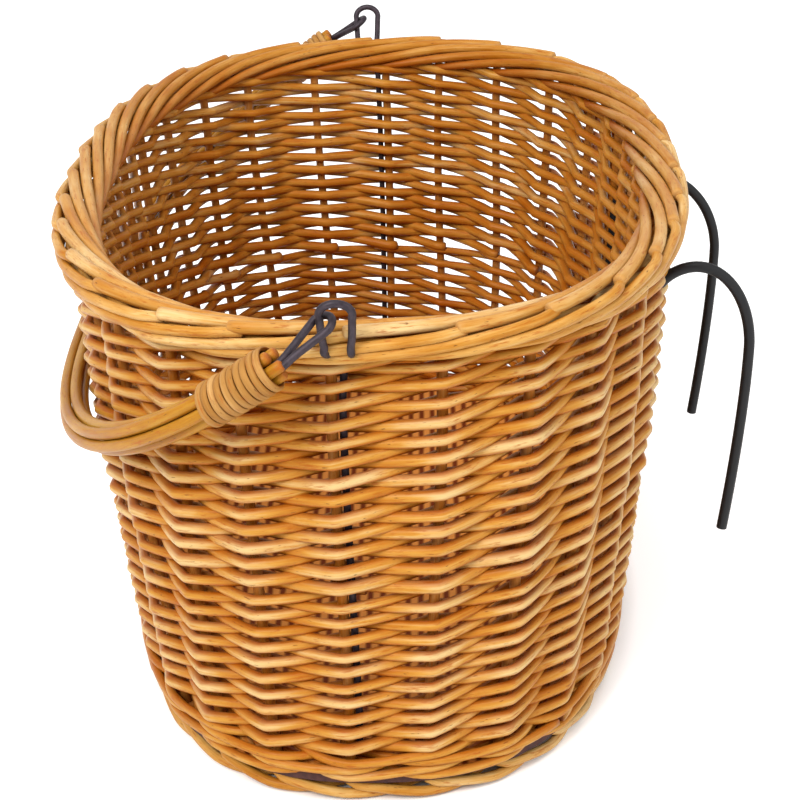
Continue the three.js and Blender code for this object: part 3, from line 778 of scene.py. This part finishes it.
# Handlebar hooks
def hook_path(end):
    """Shank beside a stake, crown, shoulder, and a tail that tucks in towards the wall."""
    plane_y = end * HOOK_SPACING / 2
    wanted = oval_length / 4 + plane_y
    stake = min(range(0, int(far_number), 2), key=lambda k: abs(stake_length(k) - wanted))
    length = stake_length(stake) - (STAKE_RADIUS + HOOK_RADIUS + GAP)
    crown_z = HOOK_CROWN_Z - (FAR_HOOK_DROP if end > 0 else 0)
    hook_reach = HOOK_REACH + (FAR_HOOK_REACH if end > 0 else 0)
    start = crown_z - HOOK_CROWN_RISE
    points = list(wall_point(length, np.linspace(start - HOOK_SHANK_LENGTH, start, 6)))
    root = points[-1]

    def add(out, z):
        share = min(out / hook_reach, 1)
        points.append((root[0] + out, root[1] + (plane_y - root[1]) * share, z))

    for i in range(1, 9):
        turn = i / 8 * math.pi / 2
        add(HOOK_CROWN_OUT * (1 - math.cos(turn)), start + HOOK_CROWN_RISE * math.sin(turn))
    for i in range(1, 11):
        turn = i / 10 * math.pi / 2
        out = HOOK_CROWN_OUT + (hook_reach - HOOK_CROWN_OUT) * math.sin(turn)
        add(out, crown_z - HOOK_SHOULDER_DROP * (1 - math.cos(turn)))
    tail = crown_z - HOOK_SHOULDER_DROP
    for i in range(1, 7):
        share = i / 6
        points.append((root[0] + hook_reach - HOOK_TIP_TUCK * share**1.5, plane_y,
                       tail - HOOK_TAIL_DROP * share))
    return resample(points, 2.0)


for label, end in ENDS:
    piece = swept(f"hook_rod_{label}", hook_path(end), HOOK_RADIUS, 16, 0.5 + 0.2 * end,
                  first_side=(0, 1, 0), cut=(0.6, 0.6))
    finish_piece(piece, hook_look, "basket", "hook", f"handlebar_hook_{label}")


# Handle arch in its own plane: reach from the pivot line, and distance in Y
shoulder_y = RIM_LENGTH / 2 + HANDLE_SHOULDER_GAP
rod_count = len(ROD_ENDS)
rod_ring = (HANDLE_ROD_RADIUS + GAP / 2) / math.sin(math.pi / rod_count)

# The reach at which the hanging handle just clears the wall, found step by step because the wall
# tapers with height
handle_reach = RIM_DEPTH / 2
for _ in range(12):
    wall = oval_at(pivot_z - handle_reach * math.sin(HANDLE_REST_ANGLE))[0]
    clear = WALL_HALF + HANDLE_WALL_GAP + rod_ring + HANDLE_ROD_RADIUS
    handle_reach = (wall + clear + pivot_x) / math.cos(HANDLE_REST_ANGLE)

arch_turn = np.linspace(-math.pi / 2, math.pi / 2, 721)
arch_c, arch_s = np.cos(arch_turn), np.sin(arch_turn)
arch_scale = (np.abs(arch_c) ** HANDLE_POWER + np.abs(arch_s) ** HANDLE_POWER) ** (
    -1 / HANDLE_POWER)
arch_reach = HANDLE_START + (handle_reach - HANDLE_START) * arch_c * arch_scale
arch_width = shoulder_y * arch_s * arch_scale
arch_run = np.concatenate(
    [[0], np.cumsum(np.hypot(np.diff(arch_reach), np.diff(arch_width)))])
arch_length = arch_run[-1]


def arch(run):
    """Point and outward side of the arch at a run in mm from its near end."""
    run = np.asarray(run, float)
    x, y = np.interp(run, arch_run, arch_reach), np.interp(run, arch_run, arch_width)
    ax = np.interp(run + 1.5, arch_run, arch_reach) - np.interp(run - 1.5, arch_run, arch_reach)
    ay = np.interp(run + 1.5, arch_run, arch_width) - np.interp(run - 1.5, arch_run, arch_width)
    size = np.hypot(ax, ay)
    return x, y, ax / size, ay / size


def hang(reach, y, up):
    """From the handle's own plane to where it hangs at rest."""
    c, s = math.cos(HANDLE_REST_ANGLE), math.sin(HANDLE_REST_ANGLE)
    return np.stack([pivot_x + centre_x - reach * c - up * s, y, pivot_z - reach * s + up * c], -1)


plane_normal = (-math.sin(HANDLE_REST_ANGLE), 0, math.cos(HANDLE_REST_ANGLE))
for rod, (early, late) in enumerate(ROD_ENDS):
    run = np.linspace(HANDLE_ROD_START + early, arch_length - HANDLE_ROD_START - late, 260)
    x, y, tx, ty = arch(run)
    turn = (rod + 0.5) / rod_count * 2 * math.pi
    spread = 1 + 0.05 * np.sin(run / 61 + rod * 1.7)
    across = rod_ring * math.cos(turn) * spread
    rise = rod_ring * math.sin(turn) * spread
    path = hang(x - ty * across, y + tx * across, rise)
    thick = HANDLE_ROD_RADIUS * (1 + 0.04 * np.sin(run / 90 + rod * 2.1))
    piece = swept(f"handle_willow_{rod + 1}", path, thick, 14, rod_tone(0.1, 0.5),
                  first_side=plane_normal)
    finish_piece(piece, handle_look, "handle", "handle_willow", f"handle_rod_{rod + 1}")


# Wire eyes through the staples
def eye_path(end, turned):
    """Teardrop eye round the staple, its plane turned about its own length from the handle's."""
    rise = STAPLE_RISE + RIM_HEIGHT / 3 + EYE_RAISE
    lean_y = staple_y + STAPLE_OUT + rise * math.tan(STAPLE_LEAN)
    closed_end = STAPLE_RADIUS - 2 * WIRE_RADIUS - GAP - EYE_PLAY
    x, y, _, _ = arch(HANDLE_ROD_START + np.linspace(EYE_SHANK_LENGTH, 0, 6))
    neck = np.array([x[-1], y[-1]])
    centre = np.array([closed_end + EYE_HALF_WIDTH, -lean_y])
    axis = (neck - centre) / np.linalg.norm(neck - centre)
    across = np.array([-axis[1], axis[0]])
    points = [(a, b, 0.0) for a, b in zip(x, y)]
    c, s = math.cos(turned), math.sin(turned)

    def add(base, forward, sideways):
        x, y = base + axis * forward + across * sideways * c
        points.append((x, y, sideways * s))

    opening = 0.55 * math.pi
    for i in range(15):
        turn = opening + (2 * math.pi - 2 * opening) * i / 14
        add(centre, EYE_HALF_WIDTH * math.cos(turn), EYE_HALF_WIDTH * math.sin(turn))
    beside_shank = -(2 * WIRE_RADIUS + GAP)
    add(neck, -EYE_HALF_WIDTH, beside_shank)
    add(neck, 2.0, beside_shank)
    path = resample(np.array(points), 0.9)
    return hang(path[:, 0], -end * path[:, 1], path[:, 2])


for label, end in ENDS:
    turned = EYE_TURN if end < 0 else 0.0
    piece = swept(f"eye_wire_{label}", eye_path(end, turned), WIRE_RADIUS, 14, 0.35 + 0.1 * end,
                  first_side=plane_normal)
    finish_piece(piece, wire_look, "handle", "wire", f"handle_eye_{label}")


# Cane wraps
def cane_wrap(label, end):
    """One flat strip wound round the rods, with painted shade on its two narrow edges."""
    steps = CANE_TURNS * 40
    turns = np.linspace(-0.1, CANE_TURNS + 0.1, steps + 1)
    x, y, tx, ty = arch(HANDLE_ROD_START + CANE_START + turns * CANE_PITCH)
    angle = turns * 2 * math.pi
    ring = rod_ring + HANDLE_ROD_RADIUS + CANE_PLAY + CANE_THICKNESS / 2
    rows = []
    for wide, thick in CANE_PROFILE:
        out = ring * (1 + 0.02 * np.cos(angle * 2.5)) + thick * CANE_THICKNESS / 2
        along = wide * CANE_WIDTH / 2
        px = x + tx * along - ty * np.cos(angle) * out
        py = y + ty * along + tx * np.cos(angle) * out
        rows.append(hang(px, -end * py, np.sin(angle) * out))
    verts = np.stack(rows, 1)
    count, sides = verts.shape[:2]
    faces = []
    for i in range(count - 1):
        for j in range(sides):
            k = (j + 1) % sides
            a, b = i * sides, (i + 1) * sides
            faces.append((a + j, b + j, b + k, a + k))
    faces.append(tuple(range(sides)))
    faces.append(tuple(range((count - 1) * sides + sides - 1, (count - 1) * sides - 1, -1)))
    if end < 0:
        faces = [tuple(reversed(f)) for f in faces]
    wide = np.array([p[0] for p in CANE_PROFILE])
    grain = np.zeros((count, sides, 3))
    grain[:, :, 0] = (angle * ring)[:, None] + 300 * end
    grain[:, :, 1] = wide * CANE_WIDTH / 2
    tones = 0.5 + 0.16 * np.sin(turns * 2.9 + end) + 0.1 * np.sin(turns * 7.1)
    look = np.zeros((count, sides, 3))
    look[:, :, 0] = tones[:, None]
    # Painted shade on the narrow edges, between the turns
    look[:, :, 2] = np.abs(wide) > 0.95
    piece = new_piece(f"wrap_{label}", verts.reshape(-1, 3), faces, grain, look)
    finish_piece(piece, cane_look, "handle", "cane", f"cane_wrap_{label}")


for label, end in ENDS:
    cane_wrap(label, end)


# Floor, camera and light
def build_floor():
    """White floor that takes the basket's shadow, and is plain white away from its foot."""
    mesh = bpy.data.meshes.new("floor")
    half = FLOOR_HALF_SIZE
    corners = [(-half, -half, 0), (half, -half, 0), (half, half, 0), (-half, half, 0)]
    mesh.from_pydata(corners, [], [(0, 1, 2, 3)])
    floor = bpy.data.objects.new("floor", mesh)
    floor.location = (centre_x / 1000, 0, -FLOOR_DROP)
    bpy.context.scene.collection.objects.link(floor)
    n = Nodes("floor")
    n.shader.inputs["Base Color"].default_value = (FLOOR_GREY, FLOOR_GREY, FLOOR_GREY, 1)
    n.shader.inputs["Roughness"].default_value = 0.9
    n.shader.inputs["Specular IOR Level"].default_value = 0.0
    n.shader.inputs["Emission Color"].default_value = (1, 1, 1, 1)
    light = n.add("ShaderNodeLightPath").outputs
    seen = n.maths("ADD", light["Is Camera Ray"], light["Is Glossy Ray"])
    seen = n.maths("ADD", seen, light["Is Transmission Ray"])
    away = n.add("ShaderNodeVectorMath", operation="LENGTH")
    n.link(n.scaled(n.add("ShaderNodeTexCoord").outputs["Object"], SHADOW_OVAL), away.inputs[0])
    clear = n.remap(away.outputs["Value"], 1.0, SHADOW_FADE)
    n.link(n.maths("MULTIPLY", n.maths("MULTIPLY", seen, clear), FLOOR_GLOW),
           n.shader.inputs["Emission Strength"])
    floor.data.materials.append(n.material)


def build_camera():
    """The photograph's view: azimuth, elevation, distance, roll and lens."""
    back = Vector((math.sin(CAMERA_AZIMUTH) * math.cos(CAMERA_ELEVATION),
                   -math.cos(CAMERA_AZIMUTH) * math.cos(CAMERA_ELEVATION),
                   math.sin(CAMERA_ELEVATION)))
    right = Vector((math.cos(CAMERA_AZIMUTH), math.sin(CAMERA_AZIMUTH), 0))
    up = back.cross(right)
    side = right * math.cos(CAMERA_ROLL) + up * math.sin(CAMERA_ROLL)
    top = up * math.cos(CAMERA_ROLL) - right * math.sin(CAMERA_ROLL)
    data = bpy.data.cameras.new("camera")
    data.sensor_width = SENSOR_WIDTH
    data.lens = SENSOR_WIDTH * FOCAL_PIXELS / PHOTO_PIXELS
    data.shift_x = 0.5 - OPTICAL_AXIS[0] / PHOTO_PIXELS
    data.shift_y = OPTICAL_AXIS[1] / PHOTO_PIXELS - 0.5
    camera = bpy.data.objects.new("camera", data)
    matrix = Matrix((side, top, back)).transposed().to_4x4()
    matrix.translation = (Vector((centre_x, 0, CAMERA_AIM_Z)) + back * CAMERA_DISTANCE) / 1000
    camera.matrix_world = matrix
    bpy.context.scene.collection.objects.link(camera)
    bpy.context.scene.camera = camera


def build_world():
    """White where it is seen, mirrored or looked through to, and dimmer as light."""
    world = bpy.data.worlds.new("world")
    world.use_nodes = True
    bpy.context.scene.world = world
    tree = world.node_tree
    ground = tree.nodes["Background"]
    ground.inputs["Color"].default_value = (1, 1, 1, 1)
    path = tree.nodes.new("ShaderNodeLightPath")
    mirrored, seen = (tree.nodes.new("ShaderNodeMath") for _ in range(2))
    mirrored.operation = seen.operation = "ADD"
    tree.links.new(path.outputs["Is Glossy Ray"], mirrored.inputs[0])
    tree.links.new(path.outputs["Is Transmission Ray"], mirrored.inputs[1])
    tree.links.new(path.outputs["Is Camera Ray"], seen.inputs[0])
    tree.links.new(mirrored.outputs[0], seen.inputs[1])
    strength = tree.nodes.new("ShaderNodeMapRange")
    strength.inputs["To Min"].default_value = WORLD_LIGHT
    strength.inputs["To Max"].default_value = 1.0
    tree.links.new(seen.outputs[0], strength.inputs["Value"])
    tree.links.new(strength.outputs["Result"], ground.inputs["Strength"])


def area_light(name, place, size, power):
    data = bpy.data.lights.new(name, "AREA")
    data.energy = power
    data.size = size
    lamp = bpy.data.objects.new(name, data)
    lamp.location = place
    aim = Vector(LAMP_TARGET) - Vector(place)
    lamp.rotation_euler = aim.to_track_quat("-Z", "Y").to_euler()
    bpy.context.scene.collection.objects.link(lamp)


build_floor()
build_camera()
build_world()
for lamp in LAMPS:
    area_light(*lamp)
bpy.context.scene.view_settings.view_transform = "Standard"
